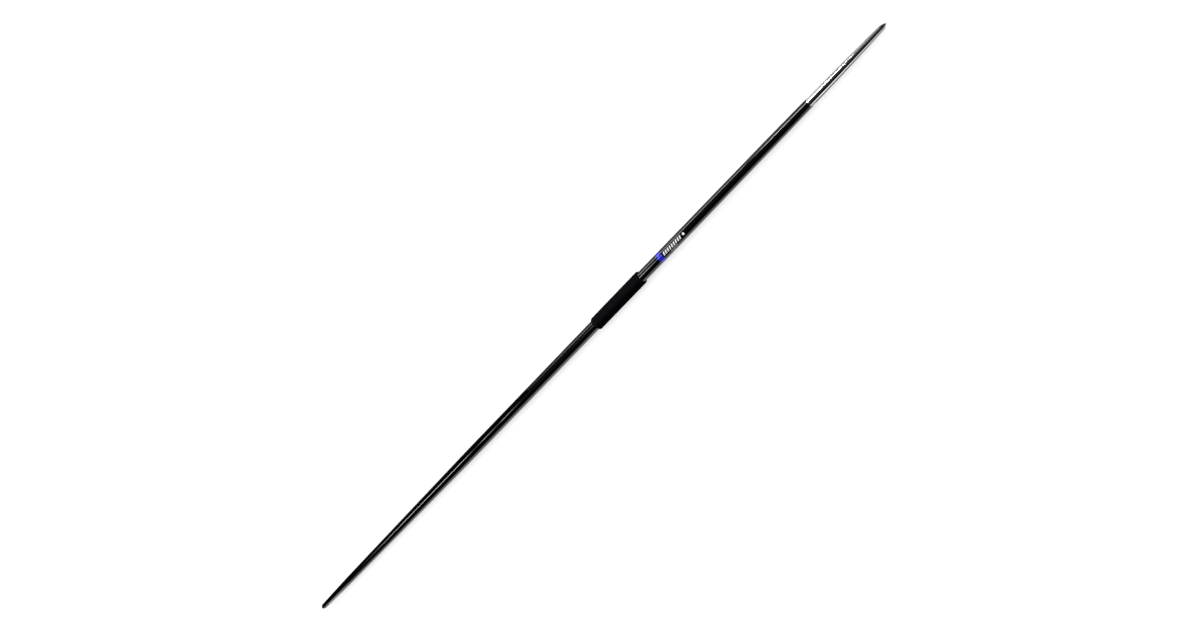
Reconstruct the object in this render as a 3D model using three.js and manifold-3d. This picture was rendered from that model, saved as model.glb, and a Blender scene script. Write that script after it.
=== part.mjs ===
// A throwing javelin for the lightest youth class, lying level on the flat under its grip.
// Millimetres: +X runs to the point, +Z is up, and the origin is on the floor below mid length.
// Each piece is drawn upright, with its axis on Y and its point up, and one group lays them all down.
import * as THREE from "three";
import { mergeVertices } from "three/addons/utils/BufferGeometryUtils.js";
import Module from "manifold-3d";

// Lengths along the javelin, and places measured from the point
const overallLength = 1850;
const headLength = 212;
const swageLength = 113;
const gripPlace = 714;
const gripLength = 145;
const rearShaftLength = 560;
const tailTaperLength = 100;

// Outer diameters from the head to the tail
const headRearDiameter = 17.2;
const shaftFrontDiameter = 18.6;
const swageDiameter = 20.3;
const shaftDiameter = 22;
const tailTaperDiameter = 15.2;
const tailEndDiameter = 10.9;

// Walls
const shaftWall = 1.05;
const headWall = 0.95;
const sleeveWall = 0.8;

// Nose cone, with the stem that is welded into the head
const tipLength = 11.5;
const tipBaseDiameter = 10.4;
const tipFullness = 0.55;
const tipStemDiameter = 4.4;
const tipStemLength = 18;

// Inside of the head: solid nose, drilled hollow, trim slug and the spigot in the tube
const noseSolidLength = 19.5;
const spigotLength = 46;
const spigotChamfer = 0.6;
const slugPlace = 96;
const slugLength = 5;

// Sleeve in the joint of the two tubes, and the plug of the tail cap
const sleeveLength = 70;
const capLength = 9;
const capSpigotLength = 26;

// Grip: adhesive tape on the tube, and one flattened cord wound over it
const tapeThickness = 0.3;
const cordThickness = 2.8;
const cordGap = 0.5;
const cordTurns = 24;

// Clearances, and the edges and corners that are eased
const seatGap = 0.3;
const fitGap = 0.15;
const edgeEase = 0.3;
const cornerEase = 24;
const cutOverrun = 5;

// Fineness of the round forms
const roundSides = 48;
const innerSides = 24;
const headSteps = 12;
const easeSteps = 3;
const pointSteps = 8;
const capSteps = 6;
const loopSteps = 24;
const cordSides = 6;

// The flat under the winding is a tenth of the cord deep, so the cord's diameter sets it
const flatDepthShare = 0.1;

const halfLength = overallLength / 2;
const jointPlace = overallLength - rearShaftLength;
const tubeEndPlace = overallLength - capLength;
const tapeRadius = shaftDiameter / 2 + fitGap + tapeThickness;
const cordInnerRadius = (tapeRadius + fitGap) / Math.cos(Math.PI / loopSteps);
const cordPathRadius = cordInnerRadius + cordThickness / 2;
const gripRadius = cordInnerRadius + cordThickness;
const cordPitch = (gripLength + cordGap) / (cordTurns + 1);
const cordWidth = cordPitch - cordGap;
const axisHeight = gripRadius - cordThickness * flatDepthShare;

const polishedSteel = new THREE.MeshStandardMaterial({ color: 0xd6d8da, roughness: 0.1, metalness: 1 });
const hardSteel = new THREE.MeshStandardMaterial({ color: 0x8b8d90, roughness: 0.3, metalness: 1 });
const slugSteel = new THREE.MeshStandardMaterial({ color: 0x7d7f82, roughness: 0.5, metalness: 1 });
const blackGloss = new THREE.MeshStandardMaterial({ color: 0x0b0b0c, roughness: 0.12, metalness: 0 });
const bareAluminium = new THREE.MeshStandardMaterial({ color: 0xc4c6c8, roughness: 0.4, metalness: 1 });
const blackPlastic = new THREE.MeshStandardMaterial({ color: 0x0d0d0e, roughness: 0.35, metalness: 0 });
const darkTape = new THREE.MeshStandardMaterial({ color: 0x1b1b1d, roughness: 0.8, metalness: 0 });
const blackCord = new THREE.MeshStandardMaterial({ color: 0x0b0c10, roughness: 0.85, metalness: 0 });

// A profile point: how far from the axis, and how far behind the point of the javelin
function at(radius, place) {
  return new THREE.Vector2(radius, place);
}

// Turns a profile about the axis. It runs back from the point outside, and forward again inside.
function revolve(profile, sides) {
  const upright = profile.map((p) => new THREE.Vector2(p.x, halfLength - p.y)).reverse();
  return new THREE.LatheGeometry(upright, sides);
}

// A wall between an outer and an inner outline, both listed from front to back
function shell(outer, inner, sides) {
  return revolve([...outer, ...inner.toReversed(), outer[0]], sides);
}

// Straight stretches through the stations, with each corner between them eased
function easedOutline(stations) {
  const path = new THREE.Path();
  path.moveTo(stations[0].x, stations[0].y);
  stations.slice(1, -1).forEach((corner, i) => {
    const towards = (other) => {
      const reach = Math.min(cornerEase, corner.distanceTo(other) / 2);
      return other.clone().sub(corner).setLength(reach).add(corner);
    };
    const before = towards(stations[i]);
    const after = towards(stations[i + 2]);
    path.lineTo(before.x, before.y);
    path.quadraticCurveTo(corner.x, corner.y, after.x, after.y);
  });
  path.lineTo(stations.at(-1).x, stations.at(-1).y);
  return path.getPoints(easeSteps);
}

// The radius of an outline at one place
function radiusAt(outline, place) {
  const next = outline.findIndex((p, i) => i > 0 && p.y >= place);
  const end = next < 0 ? outline.length - 1 : next;
  const [a, b] = [outline[end - 1], outline[end]];
  return THREE.MathUtils.lerp(a.x, b.x, (place - a.y) / (b.y - a.y));
}

// The stretch of an outline between two places, moved in by a depth
function stretch(outline, from, to, depth) {
  const inside = outline.filter((p) => p.y > from && p.y < to);
  const ends = [from, to].map((place) => at(radiusAt(outline, place), place));
  return [ends[0], ...inside, ends[1]].map((p) => at(p.x - depth, p.y));
}

// Outline of both tubes together: front swage, long front taper, level grip part, tail cone, tail end
const shaftOutline = easedOutline([
  at(shaftFrontDiameter / 2, headLength),
  at(swageDiameter / 2, headLength + swageLength),
  at(shaftDiameter / 2, gripPlace),
  at(shaftDiameter / 2, jointPlace),
  at(tailTaperDiameter / 2, overallLength - tailTaperLength),
  at(tailEndDiameter / 2, tubeEndPlace),
]);

// The head swells as a parabola, steep behind the nose cone and level at its rear
function headOutline() {
  const front = tipLength + seatGap;
  return Array.from({ length: headSteps + 1 }, (_, i) => {
    const share = i / headSteps;
    const swell = 1 - (1 - share) ** 2;
    const radius = THREE.MathUtils.lerp(tipBaseDiameter, headRearDiameter, swell) / 2;
    return at(radius, THREE.MathUtils.lerp(front, headLength - seatGap, share));
  });
}

const spigotRadius = shaftFrontDiameter / 2 - shaftWall - fitGap;
const stemRadius = tipStemDiameter / 2;
const hollowPlace = tipLength + seatGap + noseSolidLength;

// The hollow of the head keeps its wall under the ogive, and is no wider than the spigot's bore
function hollowOutline(from, to, depth) {
  const bore = spigotRadius - headWall;
  return stretch(headOutline(), from, to, headWall).map((p) => at(Math.min(p.x, bore) - depth, p.y));
}

// The nose swells fast behind its blunt point, and then more slowly, as a power of the way along it
function headTip() {
  const nose = Array.from({ length: pointSteps + 1 }, (_, i) => {
    const share = (i / pointSteps) ** 2;
    return at((tipBaseDiameter / 2) * share ** tipFullness, tipLength * share);
  });
  return revolve(
    [
      ...nose,
      at(stemRadius, tipLength),
      at(stemRadius, tipLength + tipStemLength),
      at(0, tipLength + tipStemLength),
    ],
    roundSides,
  );
}

function headBody() {
  const outside = headOutline();
  const shoulder = outside.at(-1).y;
  const end = headLength + spigotLength;
  const bore = spigotRadius - headWall;
  const outer = [
    ...outside,
    at(spigotRadius, shoulder),
    at(spigotRadius, end - spigotChamfer),
    at(spigotRadius - spigotChamfer, end),
  ];
  const inner = [
    at(stemRadius + fitGap, outside[0].y),
    at(stemRadius + fitGap, hollowPlace),
    ...hollowOutline(hollowPlace, shoulder, 0).slice(1),
    at(bore, end),
  ];
  return shell(outer, inner, roundSides);
}

function balanceSlug() {
  const sides = hollowOutline(slugPlace, slugPlace + slugLength, fitGap);
  return revolve([at(0, slugPlace), ...sides, at(0, slugPlace + slugLength)], innerSides);
}

function frontShaft() {
  const end = jointPlace - seatGap / 2;
  const outer = stretch(shaftOutline, headLength + edgeEase, end, 0);
  const mouth = at(shaftFrontDiameter / 2 - edgeEase, headLength);
  const inner = stretch(shaftOutline, headLength, end, shaftWall);
  return shell([mouth, ...outer], inner, roundSides);
}

function rearShaft() {
  const start = jointPlace + seatGap / 2;
  const outer = stretch(shaftOutline, start, tubeEndPlace, 0);
  const inner = stretch(shaftOutline, start, tubeEndPlace, shaftWall);
  return shell(outer, inner, roundSides);
}

// The sleeve follows the bores of both tubes, half its length in each
function jointSleeve() {
  const from = jointPlace - sleeveLength / 2;
  const to = jointPlace + sleeveLength / 2;
  const depth = shaftWall + fitGap;
  const outer = stretch(shaftOutline, from, to, depth);
  const inner = stretch(shaftOutline, from, to, depth + sleeveWall);
  return shell(outer, inner, innerSides);
}

// The cap carries the tail's taper on to a blunt round end, and its plug fills the bore
function tailCap() {
  const base = tubeEndPlace + seatGap;
  const plug = stretch(shaftOutline, tubeEndPlace - capSpigotLength, tubeEndPlace, shaftWall + fitGap);
  const end = Array.from({ length: capSteps + 1 }, (_, i) => {
    const turn = (i / capSteps) * (Math.PI / 2);
    const reach = (overallLength - base) * Math.sin(turn);
    return at((tailEndDiameter / 2) * Math.cos(turn), base + reach);
  });
  end.at(-1).x = 0;
  const neck = at(plug.at(-1).x, base);
  return revolve([at(0, plug[0].y), ...plug, neck, ...end], roundSides);
}

function gripTape() {
  const from = gripPlace;
  const to = gripPlace + gripLength;
  const tapeInside = tapeRadius - tapeThickness;
  const outer = [at(tapeRadius, from), at(tapeRadius, to)];
  const inner = [at(tapeInside, from), at(tapeInside, to)];
  return shell(outer, inner, roundSides);
}

// Rings of section points along the winding. Each ring but the two ends halves the bend of the cord,
// and the ends are square to their last straight step, which is longer than the cord is thick.
function cordRings() {
  const count = cordTurns * loopSteps;
  const centres = Array.from({ length: count + 1 }, (_, i) => {
    const turn = (i / loopSteps) * 2 * Math.PI;
    const rise = halfLength - gripPlace - cordWidth / 2 - (i / loopSteps) * cordPitch;
    return new THREE.Vector3(cordPathRadius * Math.sin(turn), rise, cordPathRadius * Math.cos(turn));
  });
  return centres.map((centre, i) => {
    const before = centres[Math.max(i - 1, 0)];
    const after = centres[Math.min(i + 1, count)];
    const along = after.clone().sub(before).normalize();
    const across = new THREE.Vector3(centre.x, 0, centre.z).projectOnPlane(along).normalize();
    const beside = new THREE.Vector3().crossVectors(along, across);
    return Array.from({ length: cordSides }, (_, side) => {
      const turn = (side / cordSides) * 2 * Math.PI;
      const flat = Math.sin(turn) / Math.sin(Math.PI / 3);
      return centre
        .clone()
        .addScaledVector(beside, (cordWidth / 2) * Math.cos(turn))
        .addScaledVector(across, (cordThickness / 2) * flat);
    });
  });
}

// The least distance from the points of a ring to the cord's edges from half a turn on, to one and a half
function leastTurnGap(rings) {
  const nearest = new THREE.Vector3();
  let least = Infinity;
  rings.forEach((ring, i) => {
    const from = i + loopSteps / 2;
    const to = Math.min(from + loopSteps, rings.length - 1);
    for (let j = from; j < to; j += 1) {
      for (let side = 0; side < cordSides; side += 1) {
        const edge = new THREE.Line3(rings[j][side], rings[j + 1][side]);
        for (const point of ring) {
          least = Math.min(least, point.distanceTo(edge.closestPointToPoint(point, true, nearest)));
        }
      }
    }
  });
  return least;
}

// One closed tube over the rings, with a fan over each end
function tubeOver(rings) {
  const index = [];
  rings.slice(1).forEach((_, i) => {
    for (let side = 0; side < cordSides; side += 1) {
      const a = i * cordSides + side;
      const b = i * cordSides + ((side + 1) % cordSides);
      index.push(a, a + cordSides, b, b, a + cordSides, b + cordSides);
    }
  });
  const last = (rings.length - 1) * cordSides;
  for (let side = 1; side < cordSides - 1; side += 1) {
    index.push(0, side, side + 1);
    index.push(last, last + side + 1, last + side);
  }
  const places = rings.flat().flatMap((p) => p.toArray());
  const geometry = new THREE.BufferGeometry();
  geometry.setAttribute("position", new THREE.Float32BufferAttribute(places, 3));
  geometry.setIndex(index);
  return geometry;
}

const wasm = await Module();
wasm.setup();

// A closed mesh as a solid that can be cut
function solidOf(geometry) {
  const bare = geometry.clone();
  bare.deleteAttribute("normal");
  bare.deleteAttribute("uv");
  const merged = mergeVertices(bare);
  const vertProperties = merged.getAttribute("position").array;
  const triVerts = new Uint32Array(merged.index.array);
  return new wasm.Manifold(new wasm.Mesh({ numProp: 3, vertProperties, triVerts }));
}

function geometryOf(solid) {
  const mesh = solid.getMesh();
  const geometry = new THREE.BufferGeometry();
  geometry.setAttribute("position", new THREE.BufferAttribute(mesh.vertProperties, mesh.numProp));
  geometry.setIndex(new THREE.BufferAttribute(mesh.triVerts, 1));
  return geometry;
}

// The winding, cut flat below so that the javelin lies still on it
function gripCord() {
  const rings = cordRings();
  console.log("least gap between the turns of the cord: " + leastTurnGap(rings).toFixed(2) + " mm");
  const span = 2 * (gripRadius + cutOverrun);
  const floor = new THREE.BoxGeometry(span, gripLength + 2 * cutOverrun, span);
  floor.translate(0, halfLength - gripPlace - gripLength / 2, -axisHeight - span / 2);
  return geometryOf(solidOf(tubeOver(rings)).subtract(solidOf(floor)));
}

function piece(name, geometry, material) {
  const mesh = new THREE.Mesh(geometry, material);
  mesh.name = name;
  return mesh;
}

const head = new THREE.Group();
head.add(piece("head_tip", headTip(), hardSteel));
head.add(piece("head_body", headBody(), polishedSteel));
head.add(piece("balance_slug", balanceSlug(), slugSteel));

const shaft = new THREE.Group();
shaft.add(piece("front_shaft", frontShaft(), blackGloss));
shaft.add(piece("joint_sleeve", jointSleeve(), bareAluminium));
shaft.add(piece("rear_shaft", rearShaft(), blackGloss));
shaft.add(piece("tail_cap", tailCap(), blackPlastic));

const grip = new THREE.Group();
grip.add(piece("grip_tape", gripTape(), darkTape));
grip.add(piece("grip_cord", gripCord(), blackCord));

// Laid down with its point towards +X, at the height that sets the flat of the grip on the floor
const javelin = new THREE.Group();
javelin.add(head, shaft, grip);
javelin.rotation.z = -Math.PI / 2;
javelin.position.z = axisHeight;

export default javelin;
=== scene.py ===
"""Looks of a throwing javelin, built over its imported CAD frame.

The javelin lies level on the flat of its grip, with its point towards +X. Places along it are
measured back from the point, and radii from its long axis, both in metres.
"""

import math

import bmesh
import bpy
from mathutils import Matrix, Vector


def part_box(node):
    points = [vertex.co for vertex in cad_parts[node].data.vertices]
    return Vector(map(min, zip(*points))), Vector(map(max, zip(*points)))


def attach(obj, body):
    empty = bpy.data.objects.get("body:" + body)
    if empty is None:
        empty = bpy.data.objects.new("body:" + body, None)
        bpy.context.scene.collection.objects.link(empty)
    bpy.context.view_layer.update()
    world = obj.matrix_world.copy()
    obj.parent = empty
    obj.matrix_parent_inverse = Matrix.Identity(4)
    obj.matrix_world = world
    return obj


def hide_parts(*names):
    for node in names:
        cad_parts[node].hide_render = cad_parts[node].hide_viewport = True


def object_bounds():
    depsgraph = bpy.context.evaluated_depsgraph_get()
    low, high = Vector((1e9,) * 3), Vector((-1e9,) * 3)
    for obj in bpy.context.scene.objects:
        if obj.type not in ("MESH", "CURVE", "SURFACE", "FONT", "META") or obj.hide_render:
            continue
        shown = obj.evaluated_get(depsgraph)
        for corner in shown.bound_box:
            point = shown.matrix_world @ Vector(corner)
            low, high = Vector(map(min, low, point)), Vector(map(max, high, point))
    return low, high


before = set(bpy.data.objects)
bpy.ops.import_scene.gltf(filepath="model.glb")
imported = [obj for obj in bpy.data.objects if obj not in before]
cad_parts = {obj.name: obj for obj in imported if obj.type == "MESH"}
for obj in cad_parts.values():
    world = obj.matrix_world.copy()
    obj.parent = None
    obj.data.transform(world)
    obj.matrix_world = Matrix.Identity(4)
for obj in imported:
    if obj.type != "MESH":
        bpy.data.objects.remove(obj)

bl_info = {
    "name": "Javelin looks",
    "version": (1, 0, 0),
    "blender": (4, 5, 0),
    "location": "3D View > Sidebar > Javelin",
    "description": "Builds the visible pieces, finishes and studio of a throwing javelin",
    "category": "Object",
}

MM = 0.001
CAD_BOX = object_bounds()
POINT_X = CAD_BOX[1].x
LENGTH = CAD_BOX[1].x - CAD_BOX[0].x
FRONT_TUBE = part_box("front_shaft")
REAR_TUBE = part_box("rear_shaft")
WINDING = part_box("grip_cord")
AXIS_Z = (FRONT_TUBE[0].z + FRONT_TUBE[1].z) / 2
HEAD_LENGTH = POINT_X - FRONT_TUBE[1].x
JOINT_PLACE = POINT_X - (FRONT_TUBE[0].x + REAR_TUBE[1].x) / 2
TUBE_END = POINT_X - REAR_TUBE[0].x
GRIP_PLACE = POINT_X - WINDING[1].x
GRIP_LENGTH = WINDING[1].x - WINDING[0].x
GRIP_RADIUS = (WINDING[1].y - WINDING[0].y) / 2
GRIP_X = POINT_X - GRIP_PLACE - GRIP_LENGTH / 2

FULL_TURN = 2 * math.pi
TINY = 1e-6
ROUND_SIDES = 96
RIM_LOOPS = (0.6 * MM, 1.6 * MM, 5 * MM)
RIM_REACH = 0.02 * MM
RIM_ANGLE = math.radians(25)
CREASE_ANGLE = math.radians(32)
CLEARANCE = 0.15 * MM

# The shaft, from the step behind the head to the tail cap.
STEP_RADIUS = 9.3 * MM
SWAGE_LENGTH = 113 * MM
SWAGE_RADIUS = 10.15 * MM
SHAFT_RADIUS = 11 * MM
TAPER_LENGTH = 100 * MM
TAPER_RADIUS = 7.6 * MM
TAIL_RADIUS = 5.45 * MM
SEAM = 0.02 * MM
STEP_ROUNDING = 0.45 * MM
END_ROUNDING = 0.05 * MM

# The nose cone and its stem.
NOSE_STEPS = 24
NOSE_SWELL = 0.55
NOSE_ROUNDING = 0.12 * MM
STEM_LENGTH = 18 * MM
STEM_RADIUS = 2.2 * MM

# The head, its hollow and its spigot.
HEAD_STEPS = 48
HEAD_WALL = 0.95 * MM
HEAD_ROUNDING = 0.15 * MM
DRILL_LENGTH = 19.8 * MM
DRILL_RADIUS = 2.35 * MM
SPIGOT_LENGTH = 46 * MM
SPIGOT_CHAMFER = 0.6 * MM

# The tail cap and its plug.
CAP_STEPS = 16
CAP_GAP = 0.05 * MM
CAP_ROUNDING = 0.08 * MM
PLUG_LENGTH = 26 * MM
PLUG_DEPTH = 1.2 * MM

# The tape under the cord, which laps over itself.
TAPE_LAPS = 8
TAPE_INNER = 11.15 * MM
TAPE_HIGH = 11.45 * MM
TAPE_LOW = 11.4 * MM
TAPE_STEP = 0.1 * MM

# The cord. Its tapered ends are cut a part of a turn in, and lie a little lower than the rest.
CORD_SIDES = 16
RINGS_IN_TURN = 80
CORD_INSET = 0.12
CORD_CREASE = math.radians(60)
CORD_GAP = 0.01 * MM
END_HEIGHT = 0.55
END_RISE = 1.8
BRAID_REPEAT = 1.9 * MM

# The band and the print.
BAND_BASE = 0.01 * MM
BAND_TOP = 0.07 * MM
BAND_SPACING = 3 * MM
BAND_ROUNDING = 0.02 * MM
BAR_COUNT = 9
BAR_PLACE = 588.5 * MM
BAR_PITCH = 6.1 * MM
BAR_SIZE = (3.3 * MM, 7.2 * MM)
BAR_SLANT = 0.42
DOT_PLACE = 578.3 * MM
DOT_SIZE = (5.6 * MM, 5.6 * MM)
LINE_PLACE = 612.8 * MM
LINE_SIDE = 6.3 * MM
LINE_SIZE = (20 * MM, 0.6 * MM)
PATCH_CELLS = 10
INK_LIFT = 0.05 * MM
INK_THICKNESS = 0.03 * MM

# The studio. A level of 1 is white on the floor, the cards and the horizon. On a panel it is
# PANEL_WATTS watts on each square metre.
WHITE = (1.0, 1.0, 1.0)
BLACK = (0.0, 0.0, 0.0)
FLOOR_WIDTH = 18
FLOOR_GREY = (0.35, 0.35, 0.35)
FLOOR_SEEN = 0.6
FLOOR_MIRRORED = 0.05
HORIZON_DARK = 0.004
DOME_LEAN = 0.85
KEY_LEAN = math.radians(30)
KEY_WIDTH = math.radians(70)
PANEL_WATTS = 4
TO_LEFT = 90
TO_RIGHT = -90
TAIL_FADE = 0.5

PANELS = {
    "left_wall": dict(
        place=(-0.95, 2.5, 0.68), lean=TO_LEFT, size=(1.7, 1.36), level=1.05, rear=0.3, front=0.2
    ),
    "left_wall_front": dict(
        place=(0.0, 2.5, 0.8), lean=TO_LEFT, size=(0.6, 1.6), level=0.57, front=1.0
    ),
    "left_strip_front": dict(
        place=(-0.05, 2.189, 1.712), lean=52, size=(0.6, 0.5), level=0.55, front=1.0
    ),
    "left_tube_front": dict(
        place=(-0.445, 2.2, 1.7), lean=52, size=(0.55, 0.24), level=30, rear=0.3
    ),
    "left_tube_rear": dict(
        place=(-1.225, 2.2, 0.93), lean=67, size=(1.35, 0.22), level=9.5, rear=0.74
    ),
    "ceiling": dict(
        place=(-0.975, 0.55, 1.9), lean=16, size=(1.35, 1.1), level=0.08, front=0.1
    ),
    "ceiling_front": dict(
        place=(0.2, 0.4, 1.75), lean=0, size=(0.9, 2.4), level=0.085, front=0.6, top=1.0
    ),
    "top_tube_front": dict(
        place=(-0.86, 0.54, 1.75), lean=17, size=(0.48, 0.3), level=12, rear=0.83, front=0.33
    ),
    "top_tube_a": dict(
        place=(-1.3875, 0.53, 1.75), lean=17, size=(0.115, 0.3), level=10, front=1.0
    ),
    "top_tube_b": dict(
        place=(-1.5125, 0.58, 1.75), lean=18, size=(0.125, 0.3), level=9, rear=0.3, front=0.7
    ),
    "top_tube_rear": dict(
        place=(-1.946, 0.69, 1.75), lean=21, size=(0.9, 0.23), level=15, rear=0.36, front=0.18, turn=-29
    ),
    "right_wall": dict(
        place=(-1.525, -2.5, 0.75), lean=TO_RIGHT, size=(3.15, 1.5), level=1.25,
        rear=0.124, front=0.413, top=1.0,
    ),
    "right_screen_front": dict(
        place=(0.995, -1.034, 0.385), lean=-70, size=(1.51, 0.59), level=0.7, rear=0.027, top=0.1, tilt=-5
    ),
    "right_wall_rear": dict(
        place=(-3.737, -2.5, 1.422), lean=TO_RIGHT, size=(1.7, 4.6), level=3.3,
        front=0.44, top=0.25, tilt=-32,
    ),
}
# Painted reflections: upright cards beside the javelin that only the gloss and the steel mirror, the dark
# ones as painted shade and the bright ones as painted light.
CARDS = {
    "left_card_rear": dict(place=(-0.6, 0.036, 0.02), size=(0.86, 0.04), level=0.002),
    "left_card": dict(place=(-0.05, 0.036, 0.009), size=(0.24, 0.018), level=0.1),
    "left_card_front": dict(place=(0.89, 0.03, 0.018), size=(0.2, 0.013), level=0.35),
    "left_card_low": dict(place=(0.785, 0.022, 0.0048), size=(0.16, 0.0096), level=1.05),
    "left_card_nose": dict(place=(0.93, 0.03, 0.0055), size=(0.13, 0.011), level=0.3),
    "right_card": dict(place=(-0.115, -0.036, 0.0095), size=(1.63, 0.019), level=1.8, tail_level=3.2),
    "right_card_front": dict(place=(0.82, -0.016, 0.008), size=(0.2, 0.016), level=0.03),
}

# What the camera sees: the middle of the grip, in metres, and which way the point lies from there.
SEEN_GRIP = (0.03635, 0.02805, -4.5744)
SEEN_POINT = (0.60102, 0.62459, 0.49867)


class JavelinSizes(bpy.types.PropertyGroup):
    """Sizes that the CAD frame doesn't give by itself."""

    nose_length: bpy.props.FloatProperty(
        name="Nose length",
        description="Length of the hard nose cone",
        default=11.5 * MM,
        unit="LENGTH",
    )
    nose_radius: bpy.props.FloatProperty(
        name="Nose radius",
        description="Radius of the nose cone where the head begins",
        default=5.2 * MM,
        unit="LENGTH",
    )
    head_radius: bpy.props.FloatProperty(
        name="Head radius",
        description="Radius of the head at the step",
        default=8.6 * MM,
        unit="LENGTH",
    )
    tube_wall: bpy.props.FloatProperty(
        name="Tube wall",
        description="Wall of the aluminium tubes",
        default=1.05 * MM,
        unit="LENGTH",
    )
    grip_turns: bpy.props.FloatProperty(
        name="Cord turns",
        description="Turns of cord that show on the grip",
        default=28.2,
        min=12,
        max=60,
    )
    cord_inner: bpy.props.FloatProperty(
        name="Cord seat",
        description="Radius at which the cord lies on its tape",
        default=11.52 * MM,
        unit="LENGTH",
    )
    band_place: bpy.props.FloatProperty(
        name="Band place",
        description="Place of the front edge of the blue band",
        default=643.1 * MM,
        unit="LENGTH",
    )
    band_width: bpy.props.FloatProperty(
        name="Band width",
        description="Width of the blue band",
        default=13 * MM,
        unit="LENGTH",
    )


class JavelinFinish(bpy.types.PropertyGroup):
    """Colours of the finishes."""

    paint: bpy.props.FloatVectorProperty(
        name="Paint",
        description="Gloss paint of the shaft",
        default=(0.0012, 0.0012, 0.0013),
        subtype="COLOR",
    )
    steel: bpy.props.FloatVectorProperty(
        name="Polished steel",
        description="Polished steel of the head",
        default=(0.84, 0.85, 0.86),
        subtype="COLOR",
    )
    nose: bpy.props.FloatVectorProperty(
        name="Hard steel",
        description="Satin steel of the nose cone",
        default=(0.78, 0.79, 0.805),
        subtype="COLOR",
    )
    cord: bpy.props.FloatVectorProperty(
        name="Cord",
        description="Waxed black cord of the grip",
        default=(0.0023, 0.0023, 0.0031),
        subtype="COLOR",
    )
    band: bpy.props.FloatVectorProperty(
        name="Band",
        description="Blue foil of the band",
        default=(0.016, 0.022, 0.6),
        subtype="COLOR",
    )
    ink: bpy.props.FloatVectorProperty(
        name="Ink",
        description="White ink of the printed bars",
        default=(0.84, 0.85, 0.87),
        subtype="COLOR",
    )


class JavelinStudio(bpy.types.PropertyGroup):
    """Camera and light levels."""

    lens: bpy.props.FloatProperty(
        name="Lens",
        description="Focal length of the camera in millimetres",
        default=70.5,
        unit="CAMERA",
    )
    dome: bpy.props.FloatProperty(
        name="Dome light",
        description="Level of the soft light from all round",
        default=0.62,
        min=0,
        max=2,
    )
    key: bpy.props.FloatProperty(
        name="Key light",
        description="Level of the soft light from the upper left",
        default=0.38,
        min=0,
        max=2,
    )
    floor: bpy.props.FloatProperty(
        name="Floor",
        description="How pale the floor itself is",
        default=0.6,
        min=0,
        max=1,
        subtype="FACTOR",
    )


def settings():
    """The three groups of settings."""
    scene = bpy.context.scene
    return scene.javelin_sizes, scene.javelin_finish, scene.javelin_studio


class Value:
    """A number that varies over a surface, so that shader maths can be written as Python maths."""

    def __init__(self, tree, socket):
        self.tree = tree
        self.socket = socket

    def maths(self, operation, *others):
        """One Math node on this value and others."""
        node = self.tree.nodes.new("ShaderNodeMath")
        node.operation = operation
        for place, term in enumerate((self, *others)):
            feed(self.tree, node.inputs[place], term)
        return Value(self.tree, node.outputs[0])

    def __add__(self, other):
        return self.maths("ADD", other)

    __radd__ = __add__

    def __mul__(self, other):
        return self.maths("MULTIPLY", other)

    __rmul__ = __mul__

    def __sub__(self, other):
        return self.maths("SUBTRACT", other)

    def __rsub__(self, other):
        return (self * -1.0) + other

    def __pow__(self, other):
        return self.maths("POWER", other)

    def __abs__(self):
        return self.maths("ABSOLUTE")


def feed(tree, socket, term):
    """Links a value or an output to a socket, or writes a plain number or colour on it."""
    if isinstance(term, Value):
        term = term.socket
    if isinstance(term, bpy.types.NodeSocket):
        tree.links.new(term, socket)
    elif socket.type == "RGBA" and len(term) == 3:
        socket.default_value = (*term, 1.0)
    else:
        socket.default_value = term


class Nodes:
    """Adds nodes to a tree, and gives their outputs as values."""

    def __init__(self, tree):
        self.tree = tree

    def node(self, kind, options=None, inputs=None, output=0):
        """Adds one node. Options are set first, then its sockets, by name or by number."""
        made = self.tree.nodes.new(kind)
        for option, term in (options or {}).items():
            setattr(made, option, term)
        for socket, term in (inputs or {}).items():
            feed(self.tree, made.inputs[socket], term)
        return Value(self.tree, made.outputs[output])

    def part(self, vector, axis):
        """One part, X, Y or Z, of a vector."""
        return self.node("ShaderNodeSeparateXYZ", None, {"Vector": vector}, axis)

    def range(self, value, low, high, to_low=0.0, to_high=1.0):
        """Takes a value smoothly from one range to another, and holds it at the ends."""
        options = {"interpolation_type": "SMOOTHSTEP", "clamp": True}
        inputs = {"Value": value, "From Min": low, "From Max": high, "To Min": to_low, "To Max": to_high}
        return self.node("ShaderNodeMapRange", options, inputs)

    def fall(self, value, low, high):
        """A mask that is full up to a low value and gone from a high one."""
        return self.range(value, low, high, to_low=1.0, to_high=0.0)

    def seen_by(self):
        """Two masks: rays from the camera, and rays mirrored or let through by a piece."""
        kinds = ("Is Camera Ray", "Is Glossy Ray", "Is Transmission Ray")
        camera, mirrored, through = [self.node("ShaderNodeLightPath", output=kind) for kind in kinds]
        return camera, (mirrored + through).maths("MINIMUM", 1.0)


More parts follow.
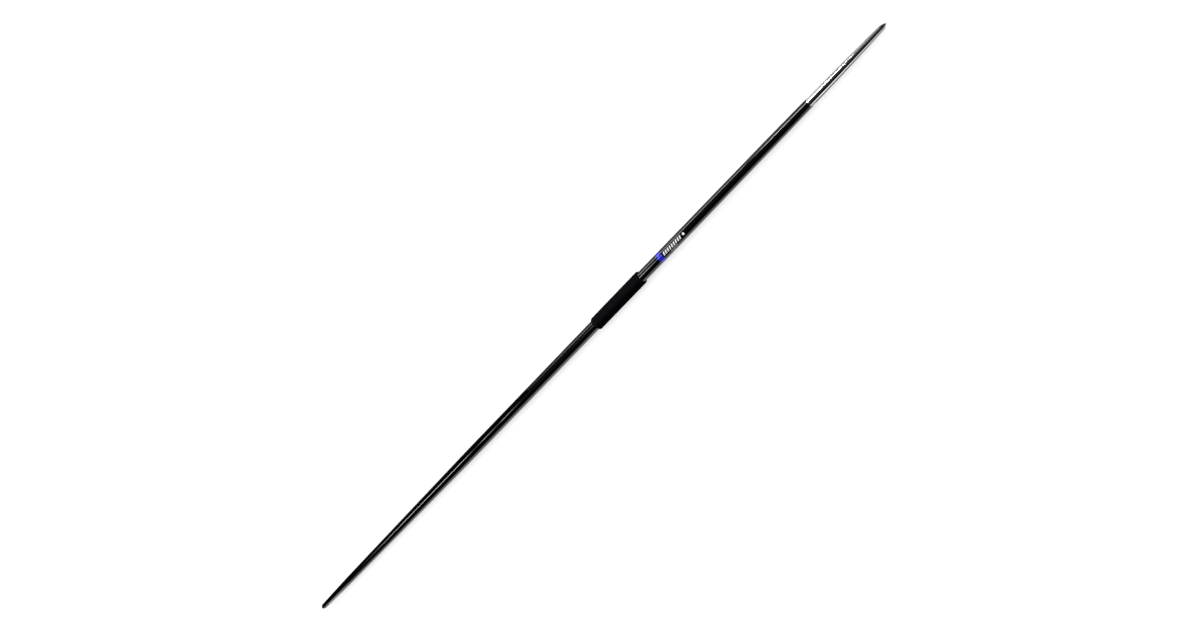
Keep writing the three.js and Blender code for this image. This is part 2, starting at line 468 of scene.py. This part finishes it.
class Finish(Nodes):
    """A material that is built up from procedural nodes."""

    def __init__(self, name, **constants):
        self.material = bpy.data.materials.new(name)
        self.material.use_nodes = True
        super().__init__(self.material.node_tree)
        self.shader = self.tree.nodes["Principled BSDF"]
        self.set(**constants)

    def set(self, **terms):
        """Feeds the shader's sockets, which are named with underscores for spaces."""
        for socket, term in terms.items():
            feed(self.tree, self.shader.inputs[socket.replace("_", " ")], term)
        return self.material

    def where(self):
        """Object coordinates, in metres."""
        return self.node("ShaderNodeTexCoord", output="Object")

    def drawn(self, along=1.0, across=1.0):
        """Coordinates from the long axis, scaled along it and across it, so that marks run one way."""
        scale = (along, across, across)
        inputs = {"Vector": self.where(), "Location": (0, 0, -AXIS_Z * across), "Scale": scale}
        return self.node("ShaderNodeMapping", None, inputs)

    def along(self):
        """How far along the javelin, from the middle towards the point, in metres."""
        return self.part(self.where(), "X")

    def noise(self, vector, scale, detail=3.0, roughness=0.55):
        """Smooth noise between 0 and 1."""
        inputs = {"Vector": vector, "Scale": scale, "Detail": detail, "Roughness": roughness}
        return self.node("ShaderNodeTexNoise", None, inputs, "Fac")

    def cells(self, scale):
        """Distance from the nearest of many scattered points, in cells of 1 / scale metres."""
        return self.node("ShaderNodeTexVoronoi", None, {"Vector": self.where(), "Scale": scale}, "Distance")

    def weave(self, direction, scale):
        """Even waves along one direction."""
        inputs = {"Vector": self.where(), "Scale": scale}
        return self.node("ShaderNodeTexWave", {"bands_direction": direction}, inputs, "Fac")

    def mix(self, share, first, second):
        """A colour between two colours."""
        return self.node("ShaderNodeMix", {"data_type": "RGBA"}, {0: share, 6: first, 7: second}, 2)

    def choose(self, share, first, second):
        """A number between two numbers."""
        return self.node("ShaderNodeMix", {"data_type": "FLOAT"}, {0: share, 2: first, 3: second}, 0)

    def bump(self, height, depth):
        """Relief of a given depth in metres, on the shader's normal."""
        self.set(Normal=self.node("ShaderNodeBump", None, {"Height": height, "Distance": depth}, "Normal"))


def toned(colour, share, lift=0.0):
    """A colour taken down or up by a share, and lifted evenly."""
    return tuple(part * share + lift for part in colour)


def eased(stations, reach=24 * MM, steps=12):
    """Straight stretches through (place, radius) stations, with a smooth bend at each corner."""
    points = [Vector(stations[0])]
    for before, corner, after in zip(stations, stations[1:], stations[2:]):
        before, corner, after = Vector(before), Vector(corner), Vector(after)
        near = min(reach, (before - corner).length / 2)
        far = min(reach, (after - corner).length / 2)
        start = corner + (before - corner).normalized() * near
        end = corner + (after - corner).normalized() * far
        for step in range(steps + 1):
            t = step / steps
            points.append(start * (1 - t) ** 2 + corner * (2 * t * (1 - t)) + end * t**2)
    return points + [Vector(stations[-1])]


def radius_at(outline, place):
    """The radius of an outline at one place."""
    for a, b in zip(outline, outline[1:]):
        if place <= b[0]:
            return a[1] + (b[1] - a[1]) * (place - a[0]) / (b[0] - a[0])
    return outline[-1][1]


def stretch(outline, start, end, depth=0.0, spacing=20 * MM):
    """The part of an outline between two places, moved in by a depth.

    Its points are no further apart than a spacing, and lie closer behind each end, so that a
    rounded rim doesn't bend the gloss beside it.
    """
    places = {start, end, *(p[0] for p in outline if start < p[0] < end)}
    count = math.ceil((end - start) / spacing)
    places.update(start + (end - start) * i / count for i in range(count))
    for reach in RIM_LOOPS:
        places.update(place for place in (start + reach, end - reach) if start < place < end)
    return [(p, radius_at(outline, p) - depth) for p in sorted(places)]


SHAFT = eased(
    [
        (HEAD_LENGTH, STEP_RADIUS),
        (HEAD_LENGTH + SWAGE_LENGTH, SWAGE_RADIUS),
        (GRIP_PLACE, SHAFT_RADIUS),
        (JOINT_PLACE, SHAFT_RADIUS),
        (LENGTH - TAPER_LENGTH, TAPER_RADIUS),
        (TUBE_END, TAIL_RADIUS),
    ]
)


def turned(outline, closed=False):
    """Turns an outline of (place, radius) points about the javelin's axis."""
    bm = bmesh.new()
    points = [bm.verts.new((POINT_X - place, 0, AXIS_Z + radius)) for place, radius in outline]
    pairs = list(zip(points, points[1:]))
    if closed:
        pairs.append((points[-1], points[0]))
    edges = [bm.edges.new(pair) for pair in pairs]
    bmesh.ops.spin(
        bm,
        geom=points + edges,
        cent=(0, 0, AXIS_Z),
        axis=(1, 0, 0),
        dvec=(0, 0, 0),
        angle=FULL_TURN,
        steps=ROUND_SIDES,
        use_merge=True,
        use_duplicate=False,
    )
    bmesh.ops.remove_doubles(bm, verts=bm.verts, dist=TINY)
    bmesh.ops.recalc_face_normals(bm, faces=bm.faces)
    return bm


def soften(bm, places, width):
    """Rounds the sharp round edges near the given places."""
    sharp = []
    for edge in bm.edges:
        place = POINT_X - (edge.verts[0].co.x + edge.verts[1].co.x) / 2
        level = abs(edge.verts[0].co.x - edge.verts[1].co.x) < TINY
        near = any(abs(place - wanted) < RIM_REACH for wanted in places)
        if level and near and len(edge.link_faces) == 2 and edge.calc_face_angle() > RIM_ANGLE:
            sharp.append(edge)
    bmesh.ops.bevel(
        bm,
        geom=sharp,
        offset=width,
        offset_type="OFFSET",
        segments=3,
        profile=0.5,
        affect="EDGES",
        material=-1,
    )


def finished(bm, name, material, slot, *nodes, crease=CREASE_ANGLE):
    """Makes a piece of a bmesh, which rides on the javelin and stands for CAD nodes."""
    mesh = bpy.data.meshes.new(name)
    bm.to_mesh(mesh)
    bm.free()
    mesh.shade_smooth()
    mesh.set_sharp_from_angle(angle=crease)
    mesh.materials.append(material)
    piece = bpy.data.objects.new(name, mesh)
    bpy.context.scene.collection.objects.link(piece)
    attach(piece, "root")
    if nodes:
        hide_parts(*nodes)
    return piece


def polished_steel():
    """Bright steel with fine turning marks, light scratches along it and a faint haze."""
    colour = tuple(settings()[1].steel)
    made = Finish("polished_steel", Metallic=1.0)
    rings = made.noise(made.drawn(across=0.02), scale=5200, detail=2)
    scratches = made.noise(made.drawn(along=0.03), scale=2600, detail=2)
    fine = made.range(scratches, low=0.62, high=0.7)
    haze = made.noise(made.where(), scale=45, detail=4)
    dull = made.range(haze, low=0.35, high=0.75, to_low=0.04, to_high=0.13)
    shade = made.mix(fine * 0.5 + haze * 0.3, colour, toned(colour, 0.86))
    made.bump(rings * 0.7 - fine * 0.5, depth=0.0012 * MM)
    return made.set(Base_Color=shade, Roughness=dull + fine * 0.08)


def hard_steel():
    """Hardened steel with ground marks round the cone, a faint tint at the weld and small dents."""
    sizes, colours, _ = settings()
    colour = tuple(colours.nose)
    made = Finish("hard_steel", Metallic=1.0)
    ground = made.noise(made.drawn(across=0.05), scale=6800)
    dents = made.fall(made.cells(420), low=0.05, high=0.22)
    weld = made.fall(made.along(), low=POINT_X - sizes.nose_length, high=POINT_X - sizes.nose_length * 0.6)
    tinted = tuple(part * share for part, share in zip(colour, (0.7, 0.68, 0.66)))
    plain = made.mix(ground * 0.8, toned(colour, 0.85), toned(colour, 1.1))
    shade = made.mix(weld * 0.5, plain, tinted)
    made.bump(ground - dents * 2.5, depth=0.003 * MM)
    return made.set(Base_Color=shade, Roughness=0.12 + ground * 0.1 + weld * 0.04)


def gloss_paint():
    """Black gloss paint: slight orange peel, dust under the lacquer, hairlines, smears by the grip."""
    colour = tuple(settings()[1].paint)
    made = Finish("gloss_paint", IOR=1.45, Coat_Roughness=0.03, Coat_IOR=1.4)
    peel = made.noise(made.where(), scale=480, detail=1.5, roughness=0.4)
    dust = made.fall(made.cells(260), low=0.02, high=0.06)
    hairs = made.noise(made.drawn(along=0.02), scale=1900, detail=2)
    scratches = made.range(hairs, low=0.69, high=0.74)
    handled = made.fall(abs(made.along() - GRIP_X), low=0.06, high=0.2)
    cloud = made.noise(made.drawn(along=0.4), scale=90, detail=4)
    smears = made.range(cloud, low=0.45, high=0.8)
    rough = 0.035 + smears * 0.03 + scratches * 0.12 + handled * smears * 0.02
    shade = made.mix(dust * 0.6 + scratches * 0.35, colour, toned(colour, 2.2, lift=0.002))
    made.bump(peel + dust * 1.5 - scratches * 0.4, depth=0.0035 * MM)
    return made.set(Base_Color=shade, Roughness=rough, Coat_Weight=0.2 - scratches * 0.1)


def tail_plastic():
    """Satin black plastic with a fine moulded grain and scuffs where it meets the ground."""
    fresh = (0.0055, 0.0055, 0.006)
    scuffed = (0.03, 0.03, 0.032)
    made = Finish("tail_plastic", IOR=1.46)
    grain = made.noise(made.where(), scale=2400)
    cloud = made.noise(made.drawn(across=0.4), scale=420, detail=4)
    end = made.fall(made.along(), low=2 * MM - POINT_X, high=8 * MM - POINT_X)
    worn = made.range(cloud, low=0.58, high=0.75) * end
    made.bump(grain * 0.5 - worn, depth=0.012 * MM)
    return made.set(Base_Color=made.mix(worn, fresh, scuffed), Roughness=0.3 + grain * 0.12 + worn * 0.25)


def braided_cord():
    """A flat braid of waxed black yarns: two crossing families of strands, with fibres along each.

    Its own map runs along the cord in repeats of the braid, and round it once. The furrows between the turns
    carry painted shade, and so does the side of the grip that faces away from the key light.
    """
    colour = tuple(settings()[1].cord)
    made = Finish("braided_cord", IOR=1.45, Specular_IOR_Level=0.004)
    place = made.node("ShaderNodeUVMap", {"uv_map": "cord"})
    run = made.part(place, "X")
    side = made.part(place, "Y")
    # Painted shade in the furrows between the turns: this mask is full on each turn's crown and falls off
    # into the furrows.
    painted_crown_light = made.range((side * FULL_TURN).maths("SINE"), low=0.25, high=0.95)
    # Painted shade on the side of the grip that faces away from the key light (-Y): this mask falls from 1
    # to 0.2 across the grip.
    painted_side_light = made.range(made.part(made.where(), "Y"), low=-7 * MM, high=3 * MM, to_low=0.2)
    girth = side * 6
    one = (run + girth) * math.pi
    other = (run - girth) * math.pi
    over = made.range(one.maths("COSINE") * other.maths("COSINE"), low=-0.25, high=0.25)
    strands = made.choose(over, abs(other.maths("SINE")), abs(one.maths("SINE")))
    fibres = made.noise(made.drawn(across=0.35), scale=5200, roughness=0.6)
    wear = made.range(made.noise(made.where(), scale=130, detail=4), low=0.42, high=0.72)
    height = strands**0.6 + fibres * 0.35
    # Painted shade and highlight: the yarn's colour follows the braid's height, darker in its low parts and
    # up to four times paler on its raised strands.
    yarn = made.mix(made.range(height, low=0.35, high=1.15), toned(colour, 0.8), toned(colour, 4))
    dusty = made.mix(wear * 0.35, yarn, toned(colour, 2.6, lift=0.001))
    # Painted shade: where the crown and side masks fall, the colour goes down to a twentieth of the cord's
    # colour.
    shade = made.mix(painted_crown_light * painted_side_light, toned(colour, 0.05), dusty)
    made.bump(height, depth=0.16 * MM)
    return made.set(Base_Color=shade, Roughness=0.52 + fibres * 0.2 - wear * 0.12)


def grip_tape():
    """Cloth tape with a plain weave."""
    gap = (0.014, 0.014, 0.016)
    thread = (0.05, 0.05, 0.054)
    made = Finish("grip_tape", IOR=1.4)
    cloth = made.weave("X", 420) * made.weave("Y", 420)
    lint = made.noise(made.where(), scale=2600)
    made.bump(cloth + lint * 0.4, depth=0.04 * MM)
    return made.set(Base_Color=made.mix(cloth * 0.6 + lint * 0.3, gap, thread), Roughness=0.72 + lint * 0.18)


def blue_foil():
    """Blue foil under lacquer, a little uneven in tone and worn thin at its two edges."""
    sizes, colours, _ = settings()
    colour = tuple(colours.band)
    bare = (0.004, 0.004, 0.01)
    made = Finish("blue_foil", IOR=1.45, Coat_Roughness=0.04, Coat_IOR=1.4)
    middle = POINT_X - sizes.band_place - sizes.band_width / 2
    away = abs(made.along() - middle)
    edge = made.range(away, low=sizes.band_width * 0.46, high=sizes.band_width * 0.5)
    cloud = made.noise(made.where(), scale=210, detail=4)
    peel = made.noise(made.where(), scale=520, detail=1.5, roughness=0.4)
    chips = edge * made.range(made.noise(made.where(), scale=1400), low=0.5, high=0.62)
    tone = made.mix(made.range(cloud, low=0.3, high=0.7), toned(colour, 0.72), colour)
    rough = 0.1 + cloud * 0.08 + chips * 0.3
    made.bump(peel - chips, depth=0.004 * MM)
    shade = made.mix(chips * 0.8, tone, bare)
    return made.set(Base_Color=shade, Roughness=rough, Coat_Weight=0.2 - chips * 0.2)


def white_ink():
    """Screen-printed white ink with a faint mesh, small pinholes and rubbed spots."""
    colour = tuple(settings()[1].ink)
    made = Finish("white_ink", IOR=1.45)
    screen = made.weave("DIAGONAL", 900)
    holes = made.fall(made.cells(900), low=0.03, high=0.09)
    rub = made.range(made.noise(made.drawn(along=0.3), scale=700), low=0.6, high=0.72)
    shade = made.mix(holes * 0.7 + rub * 0.25, colour, toned(colour, 0.3))
    made.bump(screen * 0.4 - holes, depth=0.006 * MM)
    return made.set(Base_Color=shade, Roughness=0.28 + screen * 0.1)


def turned_metal(name, colour, fineness):
    """Bare machined metal of the inner pieces: rings from the tool, cloudy oxide, dark specks."""
    oxide = (0.12, 0.11, 0.1)
    made = Finish(name, Metallic=1.0)
    rings = made.noise(made.drawn(across=0.03), scale=fineness, detail=2)
    cloud = made.noise(made.where(), scale=60, detail=4)
    specks = made.range(made.noise(made.where(), scale=900), low=0.66, high=0.74)
    tone = made.mix(rings * 0.5 + cloud * 0.4, toned(colour, 0.7), colour)
    rough = 0.28 + rings * 0.16 + cloud * 0.1
    made.bump(rings - specks * 0.6, depth=0.008 * MM)
    return made.set(Base_Color=made.mix(specks, tone, oxide), Roughness=rough)


class JAVELIN_OT_head(bpy.types.Operator):
    """Builds the nose cone and the polished head"""

    bl_idname = "javelin.head"
    bl_label = "Head"

    def execute(self, context):
        sizes = settings()[0]
        self.nose(sizes)
        self.head(sizes)
        return {"FINISHED"}

    def nose(self, sizes):
        """A blunt hard nose on a stem, which is welded into the head."""
        outline = []
        for step in range(NOSE_STEPS + 1):
            share = (step / NOSE_STEPS) ** 2
            outline.append((sizes.nose_length * share, sizes.nose_radius * share**NOSE_SWELL))
        end = sizes.nose_length + STEM_LENGTH
        outline += [(sizes.nose_length, STEM_RADIUS), (end, STEM_RADIUS), (end, 0)]
        bm = turned(outline)
        soften(bm, [sizes.nose_length], NOSE_ROUNDING)
        finished(bm, "nose_cone", hard_steel(), "hard_steel", "head_tip")

    def head(self, sizes):
        """A hollow ogive with its spigot, which goes into the front tube."""
        front = sizes.nose_length + CLEARANCE
        shoulder = HEAD_LENGTH - CLEARANCE
        ogive = []
        for step in range(HEAD_STEPS + 1):
            share = step / HEAD_STEPS
            swell = 1 - (1 - share) ** 2
            radius = sizes.nose_radius + (sizes.head_radius - sizes.nose_radius) * swell
            ogive.append((front + (shoulder - front) * share, radius))
        outside = stretch(ogive, front, shoulder)
        spigot = SHAFT[0][1] - sizes.tube_wall - CLEARANCE
        bore = spigot - HEAD_WALL
        end = HEAD_LENGTH + SPIGOT_LENGTH
        hollow = sizes.nose_length + DRILL_LENGTH
        inside = [(p, min(r, bore)) for p, r in stretch(outside, hollow, shoulder, HEAD_WALL)]
        outline = outside + [(shoulder, spigot), (end - SPIGOT_CHAMFER, spigot)]
        outline += [(end, spigot - SPIGOT_CHAMFER), (end, bore)]
        outline += inside[::-1] + [(hollow, DRILL_RADIUS), (front, DRILL_RADIUS)]
        bm = turned(outline, closed=True)
        soften(bm, [front, shoulder], HEAD_ROUNDING)
        finished(bm, "polished_head", polished_steel(), "polished_steel", "head_body")


class JAVELIN_OT_shaft(bpy.types.Operator):
    """Builds the two gloss black tubes and the tail cap"""

    bl_idname = "javelin.shaft"
    bl_label = "Shaft and tail"

    def execute(self, context):
        sizes = settings()[0]
        paint = gloss_paint()
        self.tube("front_tube", HEAD_LENGTH, JOINT_PLACE - SEAM, STEP_ROUNDING, paint, "front_shaft", sizes)
        self.tube("rear_tube", JOINT_PLACE + SEAM, TUBE_END, END_ROUNDING, paint, "rear_shaft", sizes)
        self.cap()
        return {"FINISHED"}

    def tube(self, name, start, end, rounding, paint, node, sizes):
        """One drawn tube with its wall, rounded at its rims."""
        outline = stretch(SHAFT, start, end)
        outline += stretch(SHAFT, start, end, sizes.tube_wall)[::-1]
        bm = turned(outline, closed=True)
        soften(bm, [start], rounding)
        soften(bm, [end], END_ROUNDING)
        finished(bm, name, paint, "black_shaft", node)

    def cap(self):
        """The blunt tail cap, which carries the taper on, and its plug in the tube."""
        base = TUBE_END + CAP_GAP
        radius = SHAFT[-1][1]
        plug = stretch(SHAFT, TUBE_END - PLUG_LENGTH, TUBE_END, PLUG_DEPTH)
        outline = [(plug[0][0], 0), *plug, (base, plug[-1][1])]
        for step in range(CAP_STEPS):
            turn = step / CAP_STEPS * math.pi / 2
            outline.append((base + (LENGTH - base) * math.sin(turn), radius * math.cos(turn)))
        outline.append((LENGTH, 0))
        bm = turned(outline)
        soften(bm, [base], CAP_ROUNDING)
        finished(bm, "rounded_cap", tail_plastic(), "tail_plastic", "tail_cap")


class JAVELIN_OT_grip(bpy.types.Operator):
    """Winds the cord of the grip over its tape"""

    bl_idname = "javelin.grip"
    bl_label = "Grip"

    def execute(self, context):
        self.tape()
        self.cord(settings()[0])
        return {"FINISHED"}

    def tape(self):
        """The thin cloth tape under the cord, with the steps of its overlap."""
        outline = []
        lap = GRIP_LENGTH / TAPE_LAPS
        for turn in range(TAPE_LAPS):
            start = GRIP_PLACE + turn * lap
            outline += [(start + TAPE_STEP, TAPE_HIGH), (start + lap, TAPE_LOW)]
        outline += [(GRIP_PLACE + GRIP_LENGTH, TAPE_INNER), (GRIP_PLACE + TAPE_STEP, TAPE_INNER)]
        finished(turned(outline, closed=True), "cloth_tape", grip_tape(), "grip_tape", "grip_tape")

    def cord(self, sizes):
        """One flat braid, wound turn against turn. Its ends taper away, so that the grip ends square."""
        turns = sizes.grip_turns + 1 - 2 * CORD_INSET
        way_round = FULL_TURN * (GRIP_RADIUS + sizes.cord_inner) / 2
        bm = bmesh.new()
        bmesh.ops.create_grid(bm, x_segments=round(turns * RINGS_IN_TURN), y_segments=CORD_SIDES, size=0.5)
        layer = bm.loops.layers.uv.new("cord")
        for face in bm.faces:
            for loop in face.loops:
                across = loop.vert.co.y + 0.5
                loop[layer].uv = (loop.vert.co.x * turns * way_round / BRAID_REPEAT, across)
        for point in bm.verts:
            turn = CORD_INSET + turns * (point.co.x + 0.5)
            point.co = self.on_cord(sizes, turn, FULL_TURN * (point.co.y + 0.5))
        bmesh.ops.remove_doubles(bm, verts=bm.verts, dist=TINY)
        bmesh.ops.holes_fill(bm, edges=[edge for edge in bm.edges if edge.is_boundary], sides=0)
        bmesh.ops.recalc_face_normals(bm, faces=bm.faces)
        finished(bm, "wound_cord", braided_cord(), "grip_cord", "grip_cord", crease=CORD_CREASE)

    def on_cord(self, sizes, turn, side):
        """A point on the cord: which turn it is at, and which side of the section."""
        pitch = GRIP_LENGTH / sizes.grip_turns
        front = max(0.0, (turn - 1) * pitch)
        rear = min(sizes.grip_turns * pitch, turn * pitch)
        share = (rear - front) / pitch
        height = END_HEIGHT + (1 - END_HEIGHT) * min(1.0, END_RISE * share)
        depth = (GRIP_RADIUS - sizes.cord_inner) * height
        radius = sizes.cord_inner + depth / 2 * (1 + math.sin(side))
        half = (rear - front) / 2 - CORD_GAP
        place = GRIP_PLACE + (front + rear) / 2 - math.cos(side) * half
        angle = FULL_TURN * turn
        z = AXIS_Z + radius * math.cos(angle)
        return Vector((POINT_X - place, -radius * math.sin(angle), max(0.0, z)))


class JAVELIN_OT_marks(bpy.types.Operator):
    """Lays the blue band and the plain printed bars on the shaft"""

    bl_idname = "javelin.marks"
    bl_label = "Band and bars"

    def execute(self, context):
        self.band(settings()[0])
        self.bars()
        return {"FINISHED"}

    def band(self, sizes):
        """A thin foil ring round the tube."""
        start = sizes.band_place
        end = start + sizes.band_width
        outline = stretch(SHAFT, start, end, -BAND_TOP, BAND_SPACING)
        outline += stretch(SHAFT, start, end, -BAND_BASE, BAND_SPACING)[::-1]
        bm = turned(outline, closed=True)
        soften(bm, [start, end], BAND_ROUNDING)
        finished(bm, "blue_band", blue_foil(), "band_blue")

    def bars(self):
        """A row of even slanted bars, a plain dot in front of them and a fine line below."""
        bm = bmesh.new()
        for bar in range(BAR_COUNT):
            self.patch(bm, BAR_PLACE + bar * BAR_PITCH, BAR_SIZE, slant=BAR_SLANT)
        self.patch(bm, DOT_PLACE, DOT_SIZE, is_round=True)
        self.patch(bm, LINE_PLACE, LINE_SIZE, side=LINE_SIDE)
        bmesh.ops.recalc_face_normals(bm, faces=bm.faces)
        bmesh.ops.solidify(bm, geom=bm.faces, thickness=INK_THICKNESS)
        finished(bm, "printed_bars", white_ink(), "mark_white")

    def patch(self, bm, place, size, side=0.0, slant=0.0, is_round=False):
        """One flat patch of ink, bent round the tube over its local radius."""
        grid = bmesh.ops.create_grid(bm, x_segments=PATCH_CELLS, y_segments=PATCH_CELLS, size=0.5)
        for point in grid["verts"]:
            u, v, _ = point.co
            if is_round:
                u, v = u * math.sqrt(1 - 2 * v * v), v * math.sqrt(1 - 2 * u * u)
            over = v * size[1]
            where = place - u * size[0] - over * slant
            radius = radius_at(SHAFT, where) + INK_LIFT
            angle = (side - over) / radius
            point.co = (POINT_X - where, -radius * math.sin(angle), AXIS_Z + radius * math.cos(angle))


class JAVELIN_OT_inside(bpy.types.Operator):
    """Gives the trim slug and the joint sleeve their bare metal finishes"""

    bl_idname = "javelin.inside"
    bl_label = "Inner pieces"

    def execute(self, context):
        finishes = {
            "balance_slug": turned_metal("turned_steel", (0.5, 0.5, 0.51), 3200),
            "joint_sleeve": turned_metal("drawn_aluminium", (0.77, 0.78, 0.79), 1800),
        }
        for node, material in finishes.items():
            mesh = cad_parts[node].data
            mesh.materials.clear()
            mesh.materials.append(material)
        return {"FINISHED"}


class JAVELIN_OT_studio(bpy.types.Operator):
    """Sets the pale floor, the soft studio light and the camera"""

    bl_idname = "javelin.studio"
    bl_label = "Studio"

    def execute(self, context):
        studio = settings()[2]
        self.floor(studio)
        self.surroundings(studio)
        self.key(studio)
        for name, terms in PANELS.items():
            self.panel(name, **terms)
        for name, terms in CARDS.items():
            self.card(name, **terms)
        self.camera(studio)
        context.scene.view_settings.view_transform = "Standard"
        return {"FINISHED"}

    def floor(self, studio):
        """A matt floor that keeps the shadow, and is paler for the camera than for the javelin."""
        made = Finish("pale_floor", Roughness=1.0, Specular_IOR_Level=0.0)
        seen, mirrored = made.seen_by()
        glow = seen * FLOOR_SEEN + mirrored * FLOOR_MIRRORED
        made.set(Base_Color=made.mix(seen, FLOOR_GREY, (studio.floor,) * 3))
        made.set(Emission_Color=WHITE, Emission_Strength=glow)
        self.sheet("floor", (FLOOR_WIDTH, FLOOR_WIDTH), made.material)

    def sheet(self, name, size, material):
        """A flat piece of the set, level with the floor."""
        bm = bmesh.new()
        bmesh.ops.create_grid(bm, x_segments=1, y_segments=1, size=0.5)
        bmesh.ops.scale(bm, vec=(*size, 1), verts=bm.verts)
        mesh = bpy.data.meshes.new(name)
        bm.to_mesh(mesh)
        bm.free()
        mesh.materials.append(material)
        sheet = bpy.data.objects.new(name, mesh)
        bpy.context.scene.collection.objects.link(sheet)
        return sheet

    def surroundings(self, studio):
        """White round the horizon for what looks at it, dark overhead, and a dome of soft light.

        The dome is stronger on the left, which is +Y.
        """
        world = bpy.data.worlds.new("studio")
        bpy.context.scene.world = world
        world.use_nodes = True
        sky = Nodes(world.node_tree)
        seen, mirrored = sky.seen_by()
        way = sky.node("ShaderNodeTexCoord", output="Generated")
        horizon = sky.range(sky.part(way, "Z"), low=0.01, high=0.03, to_low=1.0, to_high=HORIZON_DARK)
        dome = (1 - seen) * (1 - mirrored) * (sky.part(way, "Y") * DOME_LEAN + 1) * studio.dome
        background = sky.tree.nodes["Background"].inputs
        feed(sky.tree, background["Color"], WHITE)
        feed(sky.tree, background["Strength"], seen + mirrored * horizon + dome)

    def key(self, studio):
        """A wide soft light from the upper left. It isn't mirrored, since the panels are."""
        light = bpy.data.lights.new("key", "SUN")
        light.energy = studio.key * math.pi / math.cos(KEY_LEAN)
        light.angle = KEY_WIDTH
        lamp = bpy.data.objects.new("key", light)
        lamp.rotation_euler = (-KEY_LEAN, 0, 0)
        lamp.visible_glossy = False
        lamp.visible_camera = False
        bpy.context.scene.collection.objects.link(lamp)

    def panel(self, name, place, lean, size, level, rear=0, front=0, top=0, turn=0, tilt=0):
        """One lit rectangle, which shows only as a reflection in the gloss and the steel.

        It leans to the left by a number of degrees from overhead, and may turn and tilt. It fades
        towards its rear, front or top over a share of its size.
        """
        width, height = size
        light = bpy.data.lights.new(name, "AREA")
        light.shape = "RECTANGLE"
        light.size = width
        light.size_y = height
        light.energy = level * width * height * PANEL_WATTS
        light.use_nodes = True
        glow = Nodes(light.node_tree)
        place_on = glow.node("ShaderNodeNewGeometry", output="Parametric")
        along = glow.part(place_on, "X")
        up = glow.part(place_on, "Y") if lean < 0 else 1 - glow.part(place_on, "Y")
        strength = 1.0
        for share, term in ((rear, along), (front, 1 - along), (top, 1 - up)):
            if share:
                strength = glow.range(term, low=0.0, high=share) * strength
        feed(glow.tree, glow.tree.nodes["Emission"].inputs["Strength"], strength)
        lamp = bpy.data.objects.new(name, light)
        lamp.location = place
        lamp.rotation_euler = (math.radians(-lean), math.radians(tilt), math.radians(turn))
        lamp.visible_camera = False
        lamp.visible_diffuse = False
        bpy.context.scene.collection.objects.link(lamp)

    def card(self, name, place, size, level, tail_level=None):
        """A low upright card beside the javelin, which only the gloss and the steel mirror. It is a painted
        reflection, seen there in place of the floor: a dark card gives painted shade and a bright one
        painted light.

        With a second level, it goes over to that one along its last half metre.
        """
        made = Finish(name, Roughness=1.0, Specular_IOR_Level=0.0, Base_Color=BLACK)
        if tail_level:
            end = -size[0] / 2
            level = made.range(made.along(), end, end + TAIL_FADE, to_low=tail_level, to_high=level)
        made.set(Emission_Color=WHITE, Emission_Strength=level)
        card = self.sheet(name, size, made.material)
        card.rotation_euler = (math.radians(90), 0, 0)
        card.location = place
        card.visible_camera = False
        card.visible_diffuse = False
        card.visible_shadow = False

    def camera(self, studio):
        """The view of the photograph."""
        grip = Vector((GRIP_X, 0, AXIS_Z))
        seen_x = Vector(SEEN_POINT).normalized()
        seen_z = Vector((0, 0, 1)) - seen_x * seen_x.z
        seen_z.normalize()
        seen_y = seen_z.cross(seen_x)
        look = Matrix((seen_x, seen_y, seen_z))
        data = bpy.data.cameras.new("camera")
        data.lens = studio.lens
        data.sensor_width = 36
        data.clip_end = 60
        camera = bpy.data.objects.new("camera", data)
        camera.matrix_world = Matrix.Translation(grip - look @ Vector(SEEN_GRIP)) @ look.to_4x4()
        bpy.context.scene.collection.objects.link(camera)
        bpy.context.scene.camera = camera


class JAVELIN_PT_panel(bpy.types.Panel):
    """Sidebar panel with the settings and the steps"""

    bl_idname = "JAVELIN_PT_panel"
    bl_label = "Javelin"
    bl_space_type = "VIEW_3D"
    bl_region_type = "UI"
    bl_category = "Javelin"

    def draw(self, context):
        for group in settings():
            box = self.layout.box()
            for name in group.bl_rna.properties.keys():
                if name not in {"rna_type", "name"}:
                    box.prop(group, name)
        for step in STEPS:
            self.layout.operator(step.bl_idname)


STEPS = (
    JAVELIN_OT_head,
    JAVELIN_OT_shaft,
    JAVELIN_OT_grip,
    JAVELIN_OT_marks,
    JAVELIN_OT_inside,
    JAVELIN_OT_studio,
)
GROUPS = {
    "javelin_sizes": JavelinSizes,
    "javelin_finish": JavelinFinish,
    "javelin_studio": JavelinStudio,
}


def register():
    for group in GROUPS.values():
        bpy.utils.register_class(group)
    for name, group in GROUPS.items():
        setattr(bpy.types.Scene, name, bpy.props.PointerProperty(type=group))
    for step in (*STEPS, JAVELIN_PT_panel):
        bpy.utils.register_class(step)


def unregister():
    for step in (JAVELIN_PT_panel, *reversed(STEPS)):
        bpy.utils.unregister_class(step)
    for name, group in GROUPS.items():
        delattr(bpy.types.Scene, name)
        bpy.utils.unregister_class(group)


def main():
    register()
    bpy.ops.javelin.head()
    bpy.ops.javelin.shaft()
    bpy.ops.javelin.grip()
    bpy.ops.javelin.marks()
    bpy.ops.javelin.inside()
    bpy.ops.javelin.studio()


if __name__ == "__main__":
    main()
